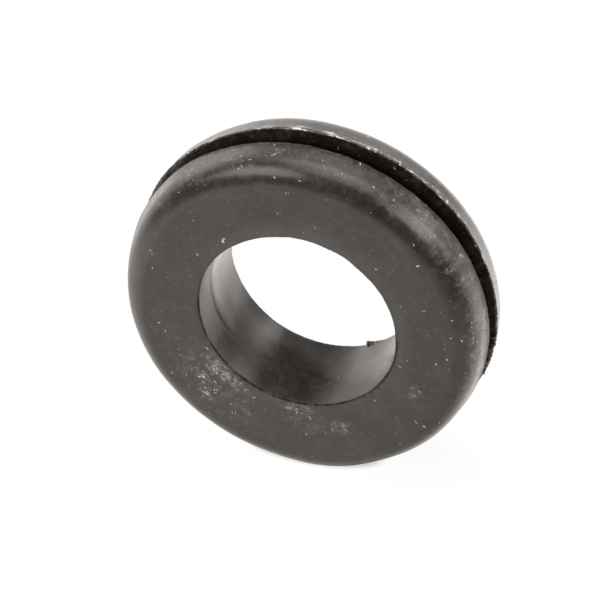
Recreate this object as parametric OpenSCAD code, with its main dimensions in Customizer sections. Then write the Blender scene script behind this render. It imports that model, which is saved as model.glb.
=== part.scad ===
// Panel grommet: a ring moulded in one piece of rubber, which lines a round hole in a metal sheet.
// The sheet's edge sits in the groove between the two flanges, and a cable passes through the bore.
// The axis is Z. The lower flange lies on its flat face at z = 0. All lengths are in millimetres.

/* [Bore] */
// Diameter of the bore that the cable passes through
bore_d = 15.9; // [10:0.1:17]
// Radius on the two mouths of the bore
mouth_r = 0.15; // [0.05:0.05:0.4]

/* [Flanges] */
// Diameter over the lips, the sharp corners beside the groove
lip_d = 29; // [27:0.5:36]
// Thickness of one flange, from its flat face to the groove
flange_t = 3.1; // [2.6:0.1:5]
// Radius of the shoulder between the flat face and the rim
shoulder_r = 2; // [0.5:0.1:2.4]
// Slope of the rim, outward from the shoulder to the lip, in degrees
rim_draft = 8; // [0:1:12]

/* [Panel groove] */
// Diameter of the groove's floor, the same as the panel's hole
groove_d = 22.2; // [18.4:0.1:25]
// Width of the groove, the same as the panel's thickness
groove_w = 1.6; // [1:0.1:3.2]
// Radius in the two corners of the groove's floor
groove_corner_r = 0.3; // [0.1:0.05:0.4]

/* [Hidden] */

// Flats in one rounded corner of the section, and steps in one turn of the ring
corner_steps = 12;
turn_steps = 120;

height = 2 * flange_t + groove_w;
bore_r = bore_d / 2;
lip_r = lip_d / 2;
groove_floor_r = groove_d / 2;

// Directions in the section's plane: x is outward from the axis, and y is along it
inward = 180;
outward = 360;
downward = 270;

// Centres of the corners' arcs. The shoulder's arc touches the flat face and the sloping rim.
mouth_centre = [bore_r + mouth_r, mouth_r];
rim_run = (flange_t - shoulder_r) * tan(rim_draft);
shoulder_centre = [lip_r - rim_run - shoulder_r / cos(rim_draft), shoulder_r];
groove_corner_centre = [groove_floor_r + groove_corner_r, flange_t + groove_corner_r];

function arc(centre, radius, from, to) = [
    for (step = [0 : corner_steps])
        let (angle = from + (to - from) * step / corner_steps)
        centre + radius * [cos(angle), sin(angle)]
];

// The lower half of the section, from the bore out over the flange and into the groove
lower_half = concat(
    arc(mouth_centre, mouth_r, inward, downward),
    arc(shoulder_centre, shoulder_r, downward, outward - rim_draft),
    [[lip_r, flange_t]],
    arc(groove_corner_centre, groove_corner_r, downward, inward)
);

// The same points on the other side of the groove's middle, in the order that closes the outline
function mirrored(points) = [
    for (i = [len(points) - 1 : -1 : 0])
        [points[i].x, height - points[i].y]
];

module section() {
    polygon(concat(lower_half, mirrored(lower_half)));
}

module grommet() {
    color([0.2, 0.195, 0.185])
        rotate_extrude($fn = turn_steps)
            section();
}

grommet();
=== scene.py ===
"""A moulded black rubber grommet, lying flat, in a plain white studio.

The ring is one mesh: the part's section turned round its axis, with the small forms that
moulding and handling left on it. Its material and the studio are procedural.
Places are in millimetres in the row frame unless a line says metres. Azimuths are in
degrees from +X towards +Y.
"""

import math

import bpy
import numpy as np
from mathutils import Matrix, Vector


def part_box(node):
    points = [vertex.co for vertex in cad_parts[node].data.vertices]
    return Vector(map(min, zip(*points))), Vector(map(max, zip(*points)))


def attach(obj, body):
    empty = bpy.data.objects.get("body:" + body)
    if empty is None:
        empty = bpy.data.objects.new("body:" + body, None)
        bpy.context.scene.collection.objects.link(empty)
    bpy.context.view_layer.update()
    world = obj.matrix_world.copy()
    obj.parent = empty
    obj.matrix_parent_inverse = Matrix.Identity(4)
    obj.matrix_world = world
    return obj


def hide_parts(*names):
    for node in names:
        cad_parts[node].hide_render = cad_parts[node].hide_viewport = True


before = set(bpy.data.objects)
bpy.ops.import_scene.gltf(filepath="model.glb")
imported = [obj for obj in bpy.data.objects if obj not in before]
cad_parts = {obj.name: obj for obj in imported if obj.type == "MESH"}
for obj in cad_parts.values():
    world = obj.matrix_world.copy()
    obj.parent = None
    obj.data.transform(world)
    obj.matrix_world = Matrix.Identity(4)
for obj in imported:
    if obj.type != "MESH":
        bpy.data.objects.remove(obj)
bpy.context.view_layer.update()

MM = 0.001
SEED = 1084
rng = np.random.default_rng(SEED)

# ---- sizes, as in the part's source ----
low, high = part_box("grommet")
LIP_R = (high.x - low.x) / 2 / MM
HEIGHT = (high.z - low.z) / MM
BORE_R = 7.95
FLANGE_T = 3.1
SHOULDER_R = 2.0
RIM_DRAFT = 8.0
GROOVE_FLOOR_R = 11.1
GROOVE_CORNER_R = 0.3
MIDDLE = HEIGHT / 2
GROOVE_HALF = MIDDLE - FLANGE_T
UPPER_LIP_Z = MIDDLE + GROOVE_HALF
LOWER_LIP_Z = MIDDLE - GROOVE_HALF

# ---- what moulding and handling did to it ----
TIGHT_SHOULDER_R = 1.3  # the upper flange's shoulder on its fuller side
FULL_SIDE = 103.0  # azimuth of that side
UPPER_LIP_EDGE_R = 0.34
LOWER_LIP_EDGE_R = 0.14
UPPER_LIP_HANG = 0.14  # how far the lips hang towards the lower flange
LOWER_LIP_HANG = 0.08
MOUTH_EDGE_R = 0.06
MOUTH_PINCH = 0.072  # how much narrower one side of the bore's upper mouth is
MOUTH_CHIP_SIDE = 166  # azimuth of the one big chip in the upper mouth's edge
LEDGE_Z = 4.98  # the mould's parting ledge round the bore
LEDGE_SIDE = 58  # azimuth where the ledge is deepest
LEDGE_MOST = 0.036  # its depth there
NIB_SIDE = 137.3  # azimuth of the flash nib on the bore's lower mouth
NIB_SIZE = 0.36
# the flanges out of round: azimuth, width in degrees, and how far they stand out
UPPER_BULGES = ((90, 30, 0.04), (121, 15, 0.22), (155, 18, 0.05), (351, 11, -0.07))
LOWER_BULGES = ((187, 15, 0.13), (308, 14, 0.06), (345, 13, 0.07))
UPPER_FULLER = 0.10  # the upper flange on its fuller side
LOWER_FULLER = 0.05  # the lower flange all round

# ---- the mesh's points: shares of the way along the section's straight runs ----
AZIMUTHS = 800
TURN = np.linspace(0, 2 * math.pi, AZIMUTHS, endpoint=False)
WALL_SHARES = (  # from the bore's middle to its mouth, closest over the ledge
    0.07, 0.13, 0.175, 0.21, 0.24, 0.262, 0.278, 0.293, 0.31,
    0.335, 0.38, 0.46, 0.58, 0.72, 0.84, 0.92, 0.97,
)
FACE_SHARES = (0.02, 0.06, 0.14, 0.25, 0.37, 0.5, 0.63, 0.76, 0.88)
RIM_SHARES = (0.3, 0.55, 0.78, 0.9)
GROOVE_SHARES = (0.04, 0.12, 0.4)


def arc(centre, radius, start, stop, steps):
    """Points on an arc, angles in degrees from +r towards +z."""
    turn = np.radians(np.linspace(start, stop, steps))
    return np.c_[centre[0] + radius * np.cos(turn), centre[1] + radius * np.sin(turn)]


def line(start, stop, shares):
    """Points between two ends, at these shares of the way."""
    share = np.array(shares)[:, None]
    return np.array(start) * (1 - share) + np.array(stop) * share


def half_section(shoulder_r, lip_edge_r):
    """The upper half of the ring's section as (r, height above the middle).

    It runs from the bore's middle over the flat face to the groove's middle.
    """
    draft = math.radians(RIM_DRAFT)
    rim_run = (FLANGE_T - shoulder_r) * math.tan(draft)
    shoulder = (LIP_R - rim_run - shoulder_r / math.cos(draft), MIDDLE - shoulder_r)
    mouth = arc((BORE_R + MOUTH_EDGE_R, MIDDLE - MOUTH_EDGE_R), MOUTH_EDGE_R, 180, 90, 5)
    curve = arc(shoulder, shoulder_r, 90, RIM_DRAFT, 13)
    lip_centre = (LIP_R - lip_edge_r, GROOVE_HALF + lip_edge_r)
    lip = arc(lip_centre, lip_edge_r, RIM_DRAFT, -90, 6)
    corner_centre = (GROOVE_FLOOR_R + GROOVE_CORNER_R, GROOVE_HALF - GROOVE_CORNER_R)
    corner = arc(corner_centre, GROOVE_CORNER_R, 90, 180, 3)
    return np.vstack([
        [[BORE_R, 0.0]],
        line((BORE_R, 0.0), mouth[0], WALL_SHARES),
        mouth,
        line(mouth[-1], curve[0], FACE_SHARES),
        curve,
        line(curve[-1], lip[0], RIM_SHARES),
        lip,
        line(lip[-1], corner[0], GROOVE_SHARES),
        corner,
        [[GROOVE_FLOOR_R, 0.0]],
    ])


# ---- seeded noise and soft masks round the ring ----
def ring_noise(longest, shortest, radius, fall=0.5):
    """Seeded noise round a circle, of unit spread, with wavelengths between these lengths."""
    fewest = max(1, round(2 * math.pi * radius / longest))
    waves = np.arange(fewest, round(2 * math.pi * radius / shortest) + 1)
    size = rng.normal(size=(2, len(waves))) * (waves / waves[0]) ** -fall
    angle = waves[:, None] * TURN
    value = size[0] @ np.cos(angle) + size[1] @ np.sin(angle)
    return value / value.std()


def lump_noise(points, wavelength, waves=48):
    """Seeded smooth noise in space, of unit spread."""
    way = rng.normal(size=(waves, 3))
    length = np.linalg.norm(way, axis=1)[:, None]
    way *= (2 * math.pi / wavelength) * rng.uniform(0.6, 1.5, (waves, 1)) / length
    phase = rng.uniform(0, 2 * math.pi, waves)
    value = np.zeros(points.shape[:-1])
    for w, p in zip(way, phase):
        value += np.cos(points @ w + p)
    return value / math.sqrt(waves / 2)


def smooth(x):
    """0 to 1 with soft ends, as x goes from 0 to 1."""
    x = np.clip(x, 0, 1)
    return x * x * (3 - 2 * x)


def bell(value, centre, width):
    """1 at the centre, falling to 0 as a bell of this width."""
    return np.exp(-(((value - centre) / width) ** 2))


def away(azimuth):
    """Degrees round the ring from this azimuth, from -180 to 180."""
    return (np.degrees(TURN) - azimuth + 180) % 360 - 180


def near(azimuth, width):
    """1 at this azimuth, falling to 0 as a bell of this width in degrees."""
    return bell(away(azimuth), 0, width)


def stretch(start, stop, soft):
    """1 between two azimuths, with soft ends of this many degrees."""
    half = ((stop - start) % 360) / 2
    out = (np.abs(away(start + half)) - half) / soft
    return 1 - smooth(out * 0.5 + 0.5)


def bulges(table):
    """What stands out round the ring, from rows of azimuth, width in degrees and size."""
    return sum(size * near(azimuth, width) for azimuth, width, size in table)


def teeth(count, radius, widths, sizes, where=(0, 360)):
    """Seeded chips and shreds round an edge. A tooth has a steep side and a long one."""
    steepness = 2.2
    value = np.zeros(AZIMUTHS)
    for _ in range(count):
        azimuth = rng.uniform(*where)
        width = math.degrees(rng.uniform(*widths) / radius)
        size = rng.uniform(*sizes)
        side = away(azimuth) * rng.choice((-1, 1)) / width
        value += size * np.exp(-np.where(side < 0, side * steepness, side) ** 2)
    return value


# ---- the ring's forms ----
def ring_grid(full):
    """The plain ring over its section and the azimuths: r, z, and the way out in r and z.

    The upper flange's shoulder goes from wide to tight as full goes from 0 to 1.
    """
    wide = half_section(SHOULDER_R, UPPER_LIP_EDGE_R)
    tight = half_section(TIGHT_SHOULDER_R, UPPER_LIP_EDGE_R)
    under = half_section(SHOULDER_R, LOWER_LIP_EDGE_R)
    upper = wide[:, :, None] * (1 - full) + tight[:, :, None] * full
    lower = np.repeat((under[-2:0:-1] * (1, -1))[:, :, None], AZIMUTHS, 2)
    section = np.concatenate([upper, lower])
    r, z = section[:, 0], section[:, 1] + MIDDLE
    run_r, run_z = (np.roll(v, -1, 0) - np.roll(v, 1, 0) for v in (r, z))
    size = np.hypot(run_r, run_z)
    return r, z, -run_z / size, run_r / size


def round_mouth(r, z):
    """The upper mouth's edge, rounder on the side at 150 degrees."""
    touch = 1e-6
    on_edge = (r < BORE_R + MOUTH_EDGE_R + touch) & (z > HEIGHT - MOUTH_EDGE_R - touch)
    uneven = np.clip(0.85 + 0.25 * ring_noise(3, 0.4, BORE_R, 0.4), 0.2, 1.1)
    more = 0.9 * stretch(116, 186, 10) * uneven + 0.3 * stretch(20, 110, 10)
    rounder = 1 + on_edge * more
    return BORE_R + (r - BORE_R) * rounder, HEIGHT - (HEIGHT - z) * rounder


def slow_waves(place, in_bore):
    """The faint waves of the whole surface, along its own normal."""
    push = -0.012 * lump_noise(place, 7.0) - 0.004 * lump_noise(place, 2.2)
    # the bore's wall waves more, and in lumps that are drawn out upwards
    size = 0.018 - 0.009 * near(95, 30)
    return push - in_bore * size * lump_noise(place * (1, 1, 0.5), 4.0)


def ledge_height():
    """The parting ledge's height round the bore."""
    azimuth = np.degrees(TURN)
    dip, rise = smooth((azimuth - 60) / 30), smooth((azimuth - 118) / 16)
    return LEDGE_Z - 0.45 * dip + 0.35 * rise + 0.04 * ring_noise(12, 2, BORE_R)


def ledge_profile(below, depth):
    """The ledge as a push along the normal: a step that runs out slowly below its line."""
    run = 0.18 + 0.10 * near(LEDGE_SIDE, 16)
    return depth * smooth((below + 0.09) / run) * (1 - smooth((below - 0.05) / 1.6))


def ragged_lips(r, z):
    """How the lips beside the groove are chipped, torn and hanging, in r and z."""
    dr, dz = np.zeros_like(r), np.zeros_like(r)
    for level, side in ((UPPER_LIP_Z, 1), (LOWER_LIP_Z, -1)):
        on_lip = smooth((r - (LIP_R - 0.6)) / 0.5) * bell(z, level, 0.22)
        chips = 0.014 * ring_noise(1.2, 0.25, LIP_R, 0.2)
        chips += 0.016 * ring_noise(9, 1.2, LIP_R, 0.5)
        chips += teeth(60, LIP_R, (0.08, 0.35), (-0.07, 0.05))
        if side < 0:
            chips += teeth(20, LIP_R, (0.10, 0.25), (0.0, 0.10), (180, 198))
        shreds = 0.5 * teeth(50, LIP_R, (0.08, 0.25), (-0.09, 0.06))
        shreds += 0.012 * ring_noise(1.5, 0.25, LIP_R, 0.2)
        if side < 0:
            shreds += teeth(26, LIP_R, (0.07, 0.18), (-0.03, 0.08), (180, 200))
        dz -= side * on_lip * chips
        dr += on_lip * shreds
    overhang = smooth((r - (LIP_R - 1.3)) / 0.9)
    dz -= overhang * UPPER_LIP_HANG * bell(z, UPPER_LIP_Z, 0.45)
    dz -= overhang * LOWER_LIP_HANG * bell(z, LOWER_LIP_Z, 0.45)
    return dr, dz


def nibbled_mouths(r, z):
    """How the bore's mouths are nibbled, in r and z."""
    dr, dz = np.zeros_like(r), np.zeros_like(r)
    for level, side in ((HEIGHT, 1), (0.0, -1)):
        on_mouth = smooth((BORE_R + 0.28 - r) / 0.2) * bell(z, level, 0.25)
        nibbled = 0.005 * ring_noise(2.5, 0.3, BORE_R, 0.4)
        if side > 0:
            finer = 0.010 * ring_noise(1.8, 0.3, BORE_R, 0.3) + 0.008
            nibbled += stretch(146, 176, 6) * finer
            nibbled += teeth(10, BORE_R, (0.12, 0.35), (0.01, 0.05), (96, 178))
            nibbled += 0.07 * near(MOUTH_CHIP_SIDE, 0.9)
        dz -= side * on_mouth * nibbled
        dr += on_mouth * nibbled * 0.5
    return dr, dz


def flash_nib():
    """The nib's share of its size round the bore: steep at one tip, tapering from it."""
    along = away(NIB_SIDE)
    tip = smooth((along + 1.8) / 2.6) * (1 - 0.45 * smooth((along - 1.2) / 3.0))
    return tip * (1 - smooth((along - 3.0) / 9.0)) * (1 + 0.10 * np.sin(along * 2.1))


def masks(r, z, out_r, painted_ledge_shade):
    """Where the material is worn, dusty, matt, grimy with painted shade, or painted with the
    groove's shade, from 0 to 1.
    """
    upper, lower = z > MIDDLE, z < MIDDLE
    on_rim = smooth((r - (LIP_R - 1.0)) / 0.6) * smooth((out_r - 0.35) / 0.4)

    # pale scuffs: thin ones along both lips, and clusters on the lower flange's rim
    patchy = np.clip(0.675 + 0.225 * ring_noise(14, 1.0, LIP_R, 0.6), 0, 1)
    upper_scuff = bell(z, UPPER_LIP_Z + 0.1, 0.35) * (0.55 + 0.5 * stretch(340, 14, 8))
    lower_scuff = bell(z, LOWER_LIP_Z - 0.15, 0.55)
    thin = 0.6 * patchy * np.where(upper, upper_scuff, lower_scuff)
    streaked = np.clip(0.1 + 0.8 * ring_noise(5, 0.5, LIP_R, 0.3), 0, 1)
    clusters = np.maximum(1.15 * near(297, 2.6), 1.1 * near(287.8, 2.6))
    clusters = clusters + 0.85 * stretch(236, 285, 12) * streaked
    worn = on_rim * np.maximum(thin, lower * clusters * bell(z, LOWER_LIP_Z - 0.30, 0.34))

    # dust on the upper flange's shoulder and the lower flange's rim
    uneven = np.clip(0.55 + 0.45 * ring_noise(7, 1.0, LIP_R, 0.4), 0, 1)
    on_shoulder = upper * smooth((r - 13.35) / 0.6) * smooth((out_r + 0.05) / 0.3)
    along = 0.10 + stretch(184, 214, 10) + 0.7 * stretch(214, 260, 12) * uneven
    along = along + 0.4 * stretch(308, 345, 14) * uneven
    along = along + 0.6 * stretch(340, 358, 6) * bell(z, 5.3, 0.9)
    dust = on_shoulder * along + 0.3 * lower * on_rim * stretch(200, 312, 14) * uneven

    # the dark line of the upper mouth: broken, but whole and thick on one side
    broken = np.clip(0.74 + 0.36 * ring_noise(6, 0.4, BORE_R, 0.4), 0.15, 1)
    thick = stretch(160, 206, 5)
    share = np.maximum(broken, 0.95 * thick) * (0.85 * stretch(10, 206, 8) + 0.15)
    from_mouth = np.hypot(r - BORE_R - 0.02, z - HEIGHT + 0.03)
    mouth_line = share * bell(from_mouth, 0, 0.10 + 0.05 * thick)
    chip = near(MOUTH_CHIP_SIDE, 0.9) * bell(from_mouth, 0, 0.2)
    mouth_line = np.maximum(mouth_line, chip)

    # grime and painted shade: the dark line there, darker round the lower mouth, painted shade
    # along the parting ledge's crease, and painted shade with dirt along the upper lip's edge
    # over the groove
    lower_mouth = 0.8 * bell(np.hypot(r - BORE_R, z), 0, 0.16)
    on_lip = smooth((r - LIP_R + 0.7) / 0.4)
    lip_line = 0.95 * on_lip * (0.7 + 0.3 * uneven) * bell(z, UPPER_LIP_Z - 0.02, 0.32)
    grime_and_shade = np.maximum.reduce([mouth_line, lower_mouth, painted_ledge_shade, lip_line])

    # painted shade on the groove's walls and floor
    within = np.abs(z - MIDDLE) < GROOVE_HALF + 0.03
    painted_groove_shade = smooth((LIP_R - 0.25 - r) / 0.5) * (r > GROOVE_FLOOR_R - 0.2) * within

    # the torn, matt fringe of the upper lip, and the mouth's line
    fringe = 0.52 + 0.34 * stretch(186, 218, 10) + 0.10 * ring_noise(5, 0.3, LIP_R, 0.5)
    torn = on_lip * upper * (1 - smooth((z - UPPER_LIP_Z - fringe + 0.20) / 0.32))
    torn = torn * (0.85 + 0.15 * uneven) * (1 - 0.85 * stretch(338, 6, 7))
    matt = np.maximum(torn, 0.9 * mouth_line)

    return {
        "worn": np.clip(worn, 0, 1),
        "dust": np.clip(dust, 0, 1),
        "grime_and_shade": grime_and_shade,
        "painted_groove_shade": painted_groove_shade,
        "matt": matt,
    }


def mesh_from_grid(name, r, z):
    """A closed mesh over a grid of section points and azimuths."""
    count = len(r)
    points = np.stack([r * np.cos(TURN), r * np.sin(TURN), z], -1).reshape(-1, 3) * MM
    i, j = np.meshgrid(np.arange(count), np.arange(AZIMUTHS), indexing="ij")
    i2, j2 = (i + 1) % count, (j + 1) % AZIMUTHS
    corners = (i * AZIMUTHS + j, i * AZIMUTHS + j2, i2 * AZIMUTHS + j2, i2 * AZIMUTHS + j)
    faces = np.stack(corners, -1).reshape(-1, 4)
    mesh = bpy.data.meshes.new(name)
    mesh.vertices.add(len(points))
    mesh.vertices.foreach_set("co", points.astype(np.float32).ravel())
    mesh.loops.add(faces.size)
    mesh.loops.foreach_set("vertex_index", faces.astype(np.int32).ravel())
    mesh.polygons.add(len(faces))
    starts = np.arange(0, faces.size, 4, dtype=np.int32)
    mesh.polygons.foreach_set("loop_start", starts)
    mesh.update(calc_edges=True)
    mesh.validate()
    mesh.shade_smooth()
    print("section points", count, "triangles", 2 * len(faces))
    return mesh


def ring_mesh(name):
    """The dressed ring."""
    full = smooth((np.cos(np.radians(away(FULL_SIDE))) + 0.05) / 0.8)
    r, z, out_r, out_z = ring_grid(full)
    place = np.stack([r * np.cos(TURN), r * np.sin(TURN), z], -1)
    r, z = round_mouth(r, z)
    in_bore = smooth((BORE_R + 0.4 - r) / 0.3)
    push = slow_waves(place, in_bore)

    # the section's points follow the ledge up and down
    ledge_z = ledge_height()
    z = z + in_bore * (ledge_z - LEDGE_Z) * bell(z, LEDGE_Z, 0.9)
    below = ledge_z - z
    ledge_depth = 0.003 + 0.006 * stretch(2, 76, 8) + 0.005 * stretch(36, 76, 14)
    ledge_depth = ledge_depth + 0.022 * near(LEDGE_SIDE, 16)
    push = push + in_bore * ledge_profile(below, ledge_depth)
    # painted shade in the parting ledge's crease, darker where the ledge is deeper
    painted_ledge_shade = in_bore * ledge_depth / LEDGE_MOST * bell(below, 0.0, 0.17)

    lip_dr, lip_dz = ragged_lips(r, z)
    mouth_dr, mouth_dz = nibbled_mouths(r, z)
    pinch = MOUTH_PINCH * stretch(208, 348, 20) * smooth((z - 5.5) / 2.0) * in_bore
    upper_out = UPPER_FULLER * full + bulges(UPPER_BULGES)
    lower_out = LOWER_FULLER + bulges(LOWER_BULGES)
    bulge = smooth((r - 12.0) / 2.0) * np.where(z > MIDDLE, upper_out, lower_out)
    nib = NIB_SIZE * flash_nib() * bell(z, 0.12, 0.20) * in_bore

    r = r + out_r * push + lip_dr + mouth_dr - pinch + bulge - nib
    z = np.maximum(z + out_z * push + lip_dz + mouth_dz, 0)
    mesh = mesh_from_grid(name, r, z)
    for mask, value in masks(r, z, out_r, painted_ledge_shade).items():
        attribute = mesh.attributes.new(mask, "FLOAT", "POINT")
        attribute.data.foreach_set("value", value.astype(np.float32).ravel())
    return mesh


class Tree:
    """Short forms for making and linking nodes."""

    def __init__(self, tree):
        self.nodes, self.links = tree.nodes, tree.links

    def add(self, kind, inputs=(), **settings):
        """A node of this kind, with each input linked to a socket or set to a value."""
        node = self.nodes.new(kind)
        for key, value in settings.items():
            setattr(node, key, value)
        for key, value in dict(inputs).items():
            if isinstance(value, bpy.types.NodeSocket):
                self.links.new(value, node.inputs[key])
            else:
                node.inputs[key].default_value = value
        return node

    def math(self, operation, *values):
        return self.add("ShaderNodeMath", enumerate(values), operation=operation).outputs[0]

    def fold(self, operation, values):
        """The values joined two by two."""
        out = values[0]
        for value in values[1:]:
            out = self.math(operation, out, value)
        return out

    def total(self, *values):
        return self.fold("ADD", values)

    def product(self, *values):
        return self.fold("MULTIPLY", values)

    def most(self, *values):
        return self.fold("MAXIMUM", values)

    def between(self, share, a, b):
        """From a to b by share."""
        return self.total(a, self.product(share, self.math("SUBTRACT", b, a)))

    def dimmed(self, share, by):
        """1, less this much where the share is full."""
        return self.math("MULTIPLY_ADD", share, -by, 1.0)

    def vector(self, operation, a, b=None, out="Vector"):
        inputs = {0: a}
        if operation == "SCALE":
            inputs["Scale"] = b
        elif b is not None:
            inputs[1] = b
        return self.add("ShaderNodeVectorMath", inputs, operation=operation).outputs[out]

    def dot(self, a, b):
        return self.vector("DOT_PRODUCT", a, b, "Value")

    def length(self, vector):
        return self.vector("LENGTH", vector, out="Value")

    def colour(self, share, a, b):
        """Colour a to colour b by share."""
        return self.add("ShaderNodeMix", {0: share, 6: a, 7: b}, data_type="RGBA").outputs[2]

    def noise(self, place, size, detail=2.0, roughness=0.5, distortion=0.0, out="Fac"):
        """Cloudy noise from 0 to 1, with lumps of about this size in the place's unit."""
        inputs = {"Vector": place, "Scale": 1 / size, "Detail": detail}
        inputs.update({"Roughness": roughness, "Distortion": distortion})
        return self.add("ShaderNodeTexNoise", inputs).outputs[out]

    def mapping(self, vector, centre=(0, 0, 0), turn=(0, 0, 0), size=(1, 1, 1)):
        """The place in a frame with this centre, turn and size."""
        inputs = {"Vector": vector, "Location": centre, "Rotation": turn, "Scale": size}
        return self.add("ShaderNodeMapping", inputs, vector_type="TEXTURE").outputs[0]

    def ramp(self, value, start, stop, low=0.0, high=1.0, kind="SMOOTHSTEP"):
        """From low to high as the value goes from start to stop."""
        inputs = {"Value": value, "From Min": start, "From Max": stop}
        inputs.update({"To Min": low, "To Max": high})
        return self.add("ShaderNodeMapRange", inputs, interpolation_type=kind).outputs[0]

    def levels(self, sine, stops):
        """Levels by an angle whose sine is given, in runs between (degrees, level)."""
        top = max(level for _, level in stops)
        node = self.add("ShaderNodeValToRGB", {0: self.math("MULTIPLY_ADD", sine, 0.5, 0.5)})
        marks = node.color_ramp.elements
        for n, (angle, level) in enumerate(stops):
            mark = marks[n] if n < 2 else marks.new(1.0)
            mark.position = (math.sin(math.radians(angle)) + 1) / 2
            mark.color = (level / top, level / top, level / top, 1)
        return self.product(node.outputs[0], top)

    def attribute(self, name):
        return self.add("ShaderNodeAttribute", attribute_name=name).outputs["Fac"]


# ---- rubber ----
RUBBER = (0.0108, 0.0080, 0.0057)
BLOOM = (0.20, 0.19, 0.178, 1)
SCUFF = (0.70, 0.675, 0.65, 1)
FLECK = (0.66, 0.64, 0.60, 1)
CHALK = (0.56, 0.575, 0.58, 1)
SHADE_AND_GRIME = (0.0040, 0.0034, 0.0030, 1)
GLOSSY_TINT = (1, 1, 1, 1)
MATT_TINT = (0.12, 0.12, 0.12, 1)
IOR = 1.5
RELIEF = 0.02  # the bump's height

# pale bloom: centre, half-widths round the ring, across and upright, strength
BLOOM_PATCHES = (
    ((3.90, 8.10, 7.8), 1.9, 1.1, 1.0, 0.9),
    ((2.20, 8.55, 7.8), 2.2, 0.75, 1.0, 0.8),
    ((4.60, 9.60, 7.8), 1.5, 0.75, 1.0, 0.75),
    ((3.60, 11.1, 7.8), 1.1, 0.50, 1.0, 1.0),
    ((3.40, 9.40, 7.8), 5.5, 2.6, 1.0, 0.35),
    ((-3.30, 7.90, 7.8), 1.7, 0.7, 1.0, 0.6),
    ((-6.95, 7.45, 7.8), 1.2, 0.9, 1.0, 0.6),
    ((-4.40, 8.75, 7.8), 2.2, 1.2, 1.0, 0.3),
    ((-10.50, 0.70, 7.8), 1.0, 0.6, 1.0, 0.35),
    ((-5.65, -12.85, 6.9), 0.6, 0.4, 0.45, 0.75),
    ((-9.45, -10.55, 6.35), 1.1, 0.45, 0.6, 0.40),
    ((-12.40, -7.40, 5.6), 1.5, 0.5, 0.5, 1.0),
    ((-13.60, -3.80, 6.1), 3.0, 0.5, 0.6, 1.0),
    ((-13.00, 5.00, 6.9), 4.0, 0.5, 0.35, 0.6),
    ((2.30, -13.95, 6.6), 1.3, 0.4, 0.4, 0.5),
    ((10.20, -10.00, 6.3), 1.3, 0.5, 0.5, 0.7),
    ((12.20, -7.00, 6.2), 1.8, 0.5, 0.6, 0.6),
    ((7.10, -12.47, 5.8), 0.8, 0.4, 0.5, 0.5),
)
# single flecks and scratches: both ends, half-width
SINGLE_FLECKS = (
    ((7.80, -3.62, 7.8), (7.90, -3.72, 7.8), 0.08),
    ((7.95, -3.85, 7.8), (7.78, -3.98, 7.8), 0.05),
    ((-3.33, -8.43, 7.8), (-3.42, -8.43, 7.8), 0.04),
    ((-5.93, -10.60, 7.8), (-6.08, -10.72, 7.8), 0.05),
    ((-10.82, -5.92, 7.8), (-10.88, -5.92, 7.8), 0.05),
    ((-11.40, -3.81, 7.8), (-11.45, -3.81, 7.8), 0.055),
    ((-11.62, 3.20, 7.8), (-11.88, 3.36, 7.8), 0.028),
    ((4.27, 9.64, 7.8), (4.37, 9.68, 7.8), 0.055),
    ((-4.98, 6.18, 4.27), (-5.02, 6.18, 4.27), 0.06),
    ((1.50, -14.40, 4.80), (1.38, -14.42, 5.10), 0.055),
    ((8.40, -11.77, 4.98), (8.15, -11.93, 4.98), 0.05),
    ((5.68, -13.29, 5.02), (5.50, -13.36, 5.04), 0.04),
    ((2.70, -14.18, 4.98), (2.20, -14.27, 5.00), 0.035),
    ((-8.48, -11.62, 5.40), (-8.44, -11.66, 5.75), 0.035),
    ((7.60, -12.10, 6.30), (7.15, -12.45, 5.85), 0.035),
    ((7.00, -12.50, 5.95), (6.75, -12.70, 5.45), 0.04),
    ((6.70, -12.80, 2.58), (6.50, -12.92, 2.50), 0.08),
    ((4.57, -13.70, 2.58), (4.35, -13.77, 2.54), 0.07),
    ((-8.15, 3.30, 7.8), (-8.20, 3.42, 7.8), 0.04),
    ((-4.35, 8.05, 7.8), (-4.60, 8.22, 7.8), 0.03),
)
# layers of scattered flecks: cell size, share of cells without one, reach in cells, how
# far it is drawn out (1 for a round one), its angle, strength, and how crowding adds to it
SCATTERED_FLECKS = (
    (0.34, 0.989, 0.13, 1.0, 0, 0.9, 0.4),
    (0.26, 0.984, 0.14, 1.0, 0, 0.4, 0.5),
    (0.55, 0.982, 0.10, 1.0, 40, 0.35, 0.4),
    (0.34, 0.993, 0.16, 0.32, 35, 0.9, 2.0),
    (0.30, 0.994, 0.16, 0.30, 115, 0.8, 2.0),
    (0.36, 0.994, 0.15, 0.28, -20, 0.8, 2.0),
)


def bloom_patches(t, place):
    """How strong the bloom is by its patches, each soft and turned along the ring."""
    patches = []
    for (x, y, z), along, across, upright, strength in BLOOM_PATCHES:
        turn = (0, 0, math.atan2(y, x))
        local = t.mapping(place, (x, y, z), turn, (across, along, upright))
        patches.append(t.ramp(t.length(local), 1.25, 0.2, 0.0, strength))
    return t.most(*patches)


def cells(t, place, size, dimensions="3D"):
    """Scattered cells: the distance from each one's point, and two draws of its own."""
    inputs = {"Vector": place, "Scale": 1 / size}
    cell = t.add("ShaderNodeTexVoronoi", inputs, voronoi_dimensions=dimensions)
    draw = t.add("ShaderNodeSeparateColor", {0: cell.outputs["Color"]})
    return cell.outputs["Distance"], draw.outputs[0], draw.outputs[1]


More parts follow.
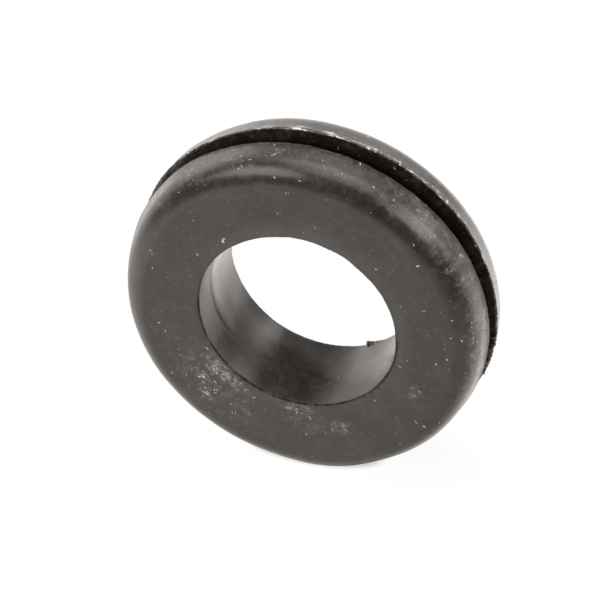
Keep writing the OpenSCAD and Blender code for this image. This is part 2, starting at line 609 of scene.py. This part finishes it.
def flecks(t, place, flat, crowd):
    """Flecks of dust and chalk: scattered ones on the surface laid out flat, and single ones."""
    out = []
    for size, share, reach, drawn, angle, strength, crowding in SCATTERED_FLECKS:
        turn = (0, 0, math.radians(angle))
        at = t.mapping(flat, turn=turn, size=(1 / drawn, 1, 1))
        distance, draw, other = cells(t, at, size, "2D")
        crowded = t.math("MULTIPLY_ADD", crowd, crowding, draw)
        chosen = t.math("GREATER_THAN", crowded, share)
        spot = t.ramp(distance, reach, reach * 0.4, 0.0, strength)
        out.append(t.product(chosen, spot, t.total(0.35, other)))
    for start, stop, wide in SINGLE_FLECKS:
        start, stop = Vector(start), Vector(stop)
        way = stop - start
        turn = Vector((1, 0, 0)).rotation_difference(way).to_euler()
        size = (way.length / 2 + wide, wide, wide)
        local = t.mapping(place, (start + stop) / 2, turn, size)
        out.append(t.ramp(t.length(local), 1.3, 0.7))
    return t.math("MINIMUM", t.most(*out), 1.0)


def rubber():
    """Black rubber with bloom, dust, scuffs, flecks, pits, grime, painted shade and painted
    light.
    """
    material = bpy.data.materials.new("black_rubber")
    material.use_nodes = True
    t = Tree(material.node_tree)
    shader = t.nodes["Principled BSDF"]
    shader.inputs["IOR"].default_value = IOR

    place = t.vector("SCALE", t.add("ShaderNodeTexCoord").outputs["Object"], 1 / MM)
    radius = t.length(t.vector("MULTIPLY", place, (1, 1, 0)))
    parts = t.add("ShaderNodeSeparateXYZ", {0: place})
    across, along, height = parts.outputs
    worn, dust, grime_and_shade, painted_groove_shade, matt = (
        t.attribute(name) for name in ("worn", "dust", "grime_and_shade", "painted_groove_shade", "matt")
    )

    # noise of three sizes. The finest is stirred, so that it doesn't look cloudy
    large = t.noise(place, 2.6, 3)
    middle = t.noise(place, 0.7, 4, 0.6, 0.5)
    stir = t.vector("SCALE", t.noise(place, 1 / 6, out="Color"), 0.16)
    stirred = t.vector("ADD", place, t.vector("ADD", stir, (-0.08, -0.08, -0.08)))
    speckle = t.noise(stirred, 0.36, 5, 0.7)
    streaks = t.noise(t.vector("MULTIPLY", stirred, (0.45, 0.45, 3.2)), 0.55, 4, 0.7)

    # parts of the ring
    inside = t.ramp(radius, 8.6, 8.2)
    low_rim = t.ramp(height, MIDDLE + 0.1, MIDDLE - 0.1)
    from_middle = t.math("ABSOLUTE", t.math("SUBTRACT", height, MIDDLE))
    past_groove = t.ramp(from_middle, GROOVE_HALF - 0.02, GROOVE_HALF + 0.04)
    outward = t.product(t.ramp(radius, 13.0, 14.2), past_groove)
    on_face = t.ramp(height, HEIGHT - 0.4, HEIGHT - 0.1)
    round_mouth = t.product(t.ramp(radius, 9.8, 7.6), on_face)

    # the rubber's own colour, mottled
    mottle = t.total(0.45, t.product(large, 0.55), t.product(middle, 0.55))
    colour = t.vector("SCALE", RUBBER, mottle)

    # bloom in patches, with chalky strokes and clumps where it is strong
    patches = bloom_patches(t, place)
    clumps = t.ramp(t.total(speckle, t.product(patches, 0.16)), 0.58, 0.72)
    wander = t.noise(stirred, 0.50, 2, 0.5, 1.5)
    ridge = t.math("ABSOLUTE", t.math("SUBTRACT", wander, 0.5))
    broken = t.ramp(t.total(speckle, t.product(patches, 0.10)), 0.53, 0.62)
    strokes = t.product(t.ramp(ridge, 0.045, 0.015), broken)
    thickness = t.total(
        0.05,
        t.product(t.ramp(middle, 0.40, 0.62), 0.25),
        t.product(clumps, 0.28),
        t.product(strokes, 0.27),
    )
    # a dusty film on the outer rims
    thin_film = t.total(
        0.01,
        t.product(t.ramp(middle, 0.44, 0.72), 0.04),
        t.product(t.ramp(speckle, 0.54, 0.74), 0.06),
        t.product(low_rim, t.ramp(streaks, 0.54, 0.70), 0.16),
    )
    thick_film = t.total(
        0.03,
        t.product(t.ramp(middle, 0.42, 0.66), 0.16),
        t.product(t.ramp(speckle, 0.52, 0.67), 0.85),
    )
    film = t.total(t.product(outward, thin_film), t.product(dust, thick_film))
    # and a thin, uneven haze all over, stronger round the upper mouth, and lighter low in the
    # bore as painted light from the floor
    haze = t.total(
        t.product(t.ramp(large, 0.47, 0.68), 0.035),
        t.product(t.ramp(middle, 0.49, 0.70), 0.07),
        t.product(t.ramp(speckle, 0.54, 0.72), 0.045),
        t.product(inside, t.ramp(height, 3.4, 0.8), 0.06),
        t.product(round_mouth, t.ramp(along, 3.0, -4.0, 0.03, 0.13)),
    )
    bloom = t.total(t.most(t.product(patches, thickness), film), haze)
    colour = t.colour(bloom, colour, BLOOM)
    colour = t.colour(t.product(patches, strokes, 0.45), colour, CHALK)

    # pale scuffs, drawn out round the lips
    torn = t.ramp(t.total(streaks, t.product(worn, 0.13)), 0.56, 0.67)
    scuff = t.product(t.ramp(worn, 0.1, 0.7), torn)
    colour = t.colour(scuff, colour, SCUFF)

    # flecks, crowded where there is bloom and dust. They lie on the surface laid out flat:
    # the face as it is, the bore and rims unrolled round it
    crowd = t.total(
        t.product(t.ramp(large, 0.45, 0.75), 0.012),
        t.product(patches, t.total(0.10, t.product(clumps, 0.22))),
        t.product(dust, 0.02),
        t.product(outward, 0.004),
        t.product(inside, -0.014),
    )
    unroll = t.math("DIVIDE", t.math("SUBTRACT", HEIGHT, height), radius)
    flat = t.vector("SCALE", stirred, t.total(unroll, 1.0))
    fleck = flecks(t, stirred, flat, crowd)
    colour = t.colour(t.product(fleck, 0.85), colour, FLECK)

    # small dark pits, grime with painted shade, and painted shade in the groove
    at = t.mapping(stirred, (3.1, 1.7, 0.4), (0.3, 0.2, 0))
    distance, draw, _ = cells(t, at, 0.3)
    pit = t.product(t.math("GREATER_THAN", draw, 0.95), t.ramp(distance, 0.20, 0.08))
    dark = t.most(grime_and_shade, t.product(pit, 0.8))
    colour = t.colour(t.most(dark, t.product(painted_groove_shade, 0.9)), colour, SHADE_AND_GRIME)
    t.links.new(colour, shader.inputs["Base Color"])

    # the bore is smoother, but for its upper wall on one side and all its wall on the other
    upper_wall = t.product(t.ramp(height, 4.15, 4.85), t.ramp(across, 4.0, 5.8))
    far_wall = t.product(t.ramp(height, 0.8, 6.2), t.ramp(across, -4.0, -6.2))
    roughness = t.total(
        0.20,
        t.product(inside, -0.08),
        t.product(inside, upper_wall, 0.16),
        t.product(inside, far_wall, 0.15),
        t.product(middle, 0.15),
        t.product(bloom, 0.3),
        t.product(scuff, 0.25),
        t.product(fleck, 0.25),
        t.product(dark, 0.35),
        t.product(matt, 0.15),
    )
    t.links.new(roughness, shader.inputs["Roughness"])
    tint = t.colour(t.product(matt, 0.95), GLOSSY_TINT, MATT_TINT)
    t.links.new(tint, shader.inputs["Specular Tint"])

    relief = t.total(
        t.product(middle, 0.5),
        t.product(clumps, patches, 0.6),
        t.product(fleck, 0.8),
        t.product(scuff, -0.3),
        t.product(pit, -1.0),
    )
    inputs = {"Height": relief, "Distance": RELIEF * MM, "Strength": 1.0}
    t.links.new(t.add("ShaderNodeBump", inputs).outputs[0], shader.inputs["Normal"])
    return material


ring = bpy.data.objects.new("rubber_ring", ring_mesh("rubber_ring"))
bpy.context.scene.collection.objects.link(ring)
ring.data.materials.append(rubber())
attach(ring, "root")
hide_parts("grommet")


# ---- directions of the photograph's setting, in the row frame ----
OVERHEAD = Vector((0.379, -0.925, -0.012)).normalized()
VIEWER = Vector((-0.284, -0.128, 0.950)).normalized()
SIDE = Vector((-0.880, -0.357, -0.312)).normalized()  # to the right in the picture


def from_photo(elevation, azimuth):
    """A direction by its elevation over the photograph's table and its azimuth.

    Azimuth 0 is behind the object, 90 to the right in the picture and 180 toward the viewer.
    """
    e, a = math.radians(elevation), math.radians(azimuth)
    return math.sin(e) * OVERHEAD + math.cos(e) * (math.sin(a) * SIDE - math.cos(a) * VIEWER)


# ---- how bright the studio looks in the rubber's gloss, 1 for white ----
STUDIO_COLOUR = (1, 0.95, 0.92, 1)
# what lies on the viewer's side, which the flat face reflects: the room and the table
ROOM_LEVEL = 0.24
TABLE_LEVEL = 1.12
# what lies behind the ring, which its rims and bore reflect: the table, the backdrop and the
# dark wall over it, as (elevation over the photograph's table, level), straight behind, and
# to the right and left in the picture
BEHIND_LEVELS = (
    (-50, 0.6), (-33, 0.8), (-20, 1.75), (-8, 1.95), (2, 1.8), (9, 2.0), (15, 2.1),
    (21, 1.6), (27, 1.15), (32, 0.9), (37, 0.48), (44, 0.5), (54, 1.6), (75, 2.2),
)
RIGHT_LEVELS = (
    (-50, 1.8), (-42, 2.2), (-35, 2.3), (-22, 2.5), (-10, 2.3), (0, 1.5), (6, 1.25), (12, 1.4),
    (18, 2.0), (25, 3.2), (31.5, 3.3), (36.5, 0.6), (44, 0.65), (54, 1.7), (75, 2.2),
)
LEFT_LEVELS = (
    (-60, 1.45), (-50, 1.75), (-42, 1.6), (-33, 1.25), (-26, 2.2), (-19, 2.55), (-10, 1.8),
    (0, 1.65), (8, 1.85), (16, 2.7), (25, 3.4), (31, 3.4), (36.5, 1.5), (44, 0.9), (54, 1.7),
    (75, 2.2),
)


def sky():
    """The studio round the ring, white to the camera and as the levels say to the rest."""
    world = bpy.data.worlds.new("studio")
    bpy.context.scene.world = world
    world.use_nodes = True
    world.node_tree.nodes.clear()
    t = Tree(world.node_tree)
    direction = t.add("ShaderNodeTexCoord").outputs["Generated"]
    up = t.dot(direction, OVERHEAD)
    behind = t.dot(direction, -VIEWER)
    side = t.dot(direction, SIDE)
    down = t.dot(direction, (0, 0, -1))

    # on the viewer's side: the room, a little brighter at both sides, over the table
    left, right = t.ramp(side, -0.38, -0.74), t.ramp(side, 0.15, 0.7)
    table_share = t.total(1.0, t.product(left, 0.75), t.product(right, 0.12))
    room = t.ramp(side, -0.05, -0.55, ROOM_LEVEL, ROOM_LEVEL + 0.30)
    low_right = t.product(t.ramp(side, 0.5, 0.9), t.ramp(up, -0.25, 0.0), 0.35)
    room = t.total(room, low_right)
    table = t.product(t.ramp(up, -0.14, -0.38), table_share, TABLE_LEVEL - ROOM_LEVEL)
    front = t.total(table, room)

    # behind the ring, by how far round to the right or left
    turn = t.math("ARCTAN2", side, behind)
    to_right = t.ramp(turn, math.radians(2), math.radians(32))
    to_left = t.ramp(turn, math.radians(-18), math.radians(-31))
    back = t.between(to_right, t.levels(up, BEHIND_LEVELS), t.levels(up, RIGHT_LEVELS))
    # painted shade straight behind the ring, where the ring would shade the table behind itself
    aside = t.math("ABSOLUTE", t.math("SUBTRACT", turn, math.radians(3)))
    straight = t.ramp(aside, math.radians(18), math.radians(5))
    painted_table_shade = t.product(straight, t.ramp(up, -0.18, -0.42))
    back = t.product(back, t.dimmed(painted_table_shade, 0.55))
    back = t.between(to_left, back, t.levels(up, LEFT_LEVELS))

    level = t.between(t.ramp(down, -0.06, 0.06), front, back)
    lit = t.add("ShaderNodeBackground", {"Color": STUDIO_COLOUR, "Strength": level})
    white = t.add("ShaderNodeBackground", {"Color": (1, 1, 1, 1), "Strength": 1.0})
    camera_ray = t.add("ShaderNodeLightPath").outputs["Is Camera Ray"]
    inputs = {0: camera_ray, 1: lit.outputs[0], 2: white.outputs[0]}
    mix = t.add("ShaderNodeMixShader", inputs)
    t.add("ShaderNodeOutputWorld", {0: mix.outputs[0]})
    world.cycles.sampling_method = "MANUAL"
    world.cycles.sample_map_resolution = 512


LAMP_DISTANCE = 0.6  # metres
LAMP_COLOUR = (1, 0.96, 0.935)


def softbox(name, elevation, azimuth, width, height, level):
    """A flat soft lamp, in a direction of the photograph's setting.

    Width and height are the angles it fills, and level is how bright it looks, 1 for white.
    """
    data = bpy.data.lights.new(name, "AREA")
    data.shape = "RECTANGLE"
    data.size = 2 * LAMP_DISTANCE * math.tan(math.radians(width / 2))
    data.size_y = 2 * LAMP_DISTANCE * math.tan(math.radians(height / 2))
    data.color = LAMP_COLOUR
    data.energy = level * math.pi * data.size * data.size_y
    lamp = bpy.data.objects.new(name, data)
    bpy.context.scene.collection.objects.link(lamp)
    way = from_photo(elevation, azimuth)
    across = OVERHEAD.cross(way).normalized()
    upward = way.cross(across)
    facing = Matrix((across, upward, way)).transposed().to_4x4()
    lamp.matrix_world = Matrix.Translation(way * LAMP_DISTANCE) @ facing
    lamp.visible_camera = False


FLOOR_HALF = 0.6  # metres
FLOOR_COLOUR = (0.8, 0.8, 0.8, 1)
FLOOR_GLOW = 1.06  # how bright the floor shows away from the ring
PAINTED_SHADOW_GLOW = 0.55  # and in the painted shadow beside it


def floor_seen(t, place, lit):
    """The floor as the camera sees it: a white glow that keeps part of the ring's real shadow,
    and a painted shadow beside the ring.
    """
    across = t.dot(place, (1, 0, 0))
    along = t.dot(place, (0, 1, 0))
    # a painted shadow beside the ring, set by the place on the floor; no lamp casts it
    reach = t.length(t.vector("SUBTRACT", place, (0, 5.5, 0)))
    ends = t.product(t.ramp(across, -0.8, -2.8), t.ramp(across, -12.0, -10.4))
    within = t.product(t.ramp(reach, 16.0, 15.3), t.ramp(t.length(place), 10.5, 12.0))
    painted_shadow = t.product(ends, within)
    strength = t.ramp(painted_shadow, 0, 1, FLOOR_GLOW, PAINTED_SHADOW_GLOW, "LINEAR")
    glow = t.add("ShaderNodeEmission", {"Color": (1, 1, 1, 1), "Strength": strength})
    share = t.ramp(along, 7, 12, 0.93, 0.78)
    return t.add("ShaderNodeMixShader", {0: share, 1: lit.outputs[0], 2: glow.outputs[0]})


def floor_in_gloss(t, place):
    """The floor as the rubber's gloss sees it: the studio, dimmed by painted shade in and beside
    the hole, where the ring would shade it.
    """

    def dimmed(place, centre, radii, start, stop, least):
        local = t.mapping(place, (*centre, 0), size=(*radii, 1))
        return t.ramp(t.length(local), start, stop, least, 1.0)

    # painted shade, seen only in the gloss: a strip along a line across the hole, and soft
    # ellipses in the hole and at the foot of its wall
    edge = t.dot(place, (1, -0.105, 0))
    strip = t.product(
        t.ramp(edge, -0.20, -0.48),
        t.ramp(edge, -2.0, -0.7),
        t.ramp(t.dot(place, (0, 1, 0)), 1.4, 3.4),
    )
    painted_shade = t.product(
        dimmed(place, (0.35, 3.05), (3.0, 2.9), 0.1, 1.35, 0.40),
        dimmed(t.vector("ABSOLUTE", place), (3.0, 7.2), (1.7, 0.9), 0.4, 1.2, 0.72),
        dimmed(place, (-0.3, 6.3), (1.2, 1.5), 0.4, 1.25, 0.75),
        t.dimmed(strip, 0.22),
    )
    grey = t.add("ShaderNodeCombineXYZ", {0: painted_shade, 1: painted_shade, 2: painted_shade}).outputs[0]
    return t.add("ShaderNodeBsdfTransparent", {"Color": grey})


def ground():
    """The white floor that the ring lies on."""
    half = FLOOR_HALF
    corners = [(-half, -half, 0), (half, -half, 0), (half, half, 0), (-half, half, 0)]
    mesh = bpy.data.meshes.new("floor")
    mesh.from_pydata(corners, [], [(0, 1, 2, 3)])
    floor = bpy.data.objects.new("floor", mesh)
    bpy.context.scene.collection.objects.link(floor)
    material = bpy.data.materials.new("white_floor")
    material.use_nodes = True
    material.node_tree.nodes.clear()
    t = Tree(material.node_tree)
    path = t.add("ShaderNodeLightPath").outputs
    place = t.vector("SCALE", t.add("ShaderNodeTexCoord").outputs["Object"], 1 / MM)
    lit = t.add("ShaderNodeBsdfDiffuse", {"Color": FLOOR_COLOUR})
    gloss, seen = floor_in_gloss(t, place), floor_seen(t, place, lit)
    inputs = {0: path["Is Glossy Ray"], 1: lit.outputs[0], 2: gloss.outputs[0]}
    unseen = t.add("ShaderNodeMixShader", inputs)
    inputs = {0: path["Is Camera Ray"], 1: unseen.outputs[0], 2: seen.outputs[0]}
    both = t.add("ShaderNodeMixShader", inputs)
    t.add("ShaderNodeOutputMaterial", {0: both.outputs[0]})
    mesh.materials.append(material)


sky()
ground()
softbox("left_softbox", 34, -122, 38, 26, 4.6)
softbox("right_softbox", 36, 118, 55, 26, 5.2)
softbox("overhead", 82, 180, 46, 46, 2.55)

# ---- camera: over the upper face, turned as the photograph has it ----
ELEVATION = 48.80
ROLL = -151.73
AIM = Vector((0, 0, HEIGHT * MM))
AIM_RIGHT = -0.03275 * BORE_R * MM
AIM_UP = -0.2108 * BORE_R * MM
DISTANCE = 40 * BORE_R * MM
LENS = 249.2

data = bpy.data.cameras.new("camera")
data.lens = LENS
data.sensor_width = 36
data.clip_start, data.clip_end = 0.01, 10
camera = bpy.data.objects.new("camera", data)
bpy.context.scene.collection.objects.link(camera)
tip = Matrix.Rotation(math.radians(90 - ELEVATION), 3, "X")
turn = tip @ Matrix.Rotation(math.radians(ROLL), 3, "Z")
eye = AIM - turn @ Vector((AIM_RIGHT, AIM_UP, -DISTANCE))
camera.matrix_world = Matrix.Translation(eye) @ turn.to_4x4()
bpy.context.scene.camera = camera

bpy.context.scene.view_settings.view_transform = "Standard"
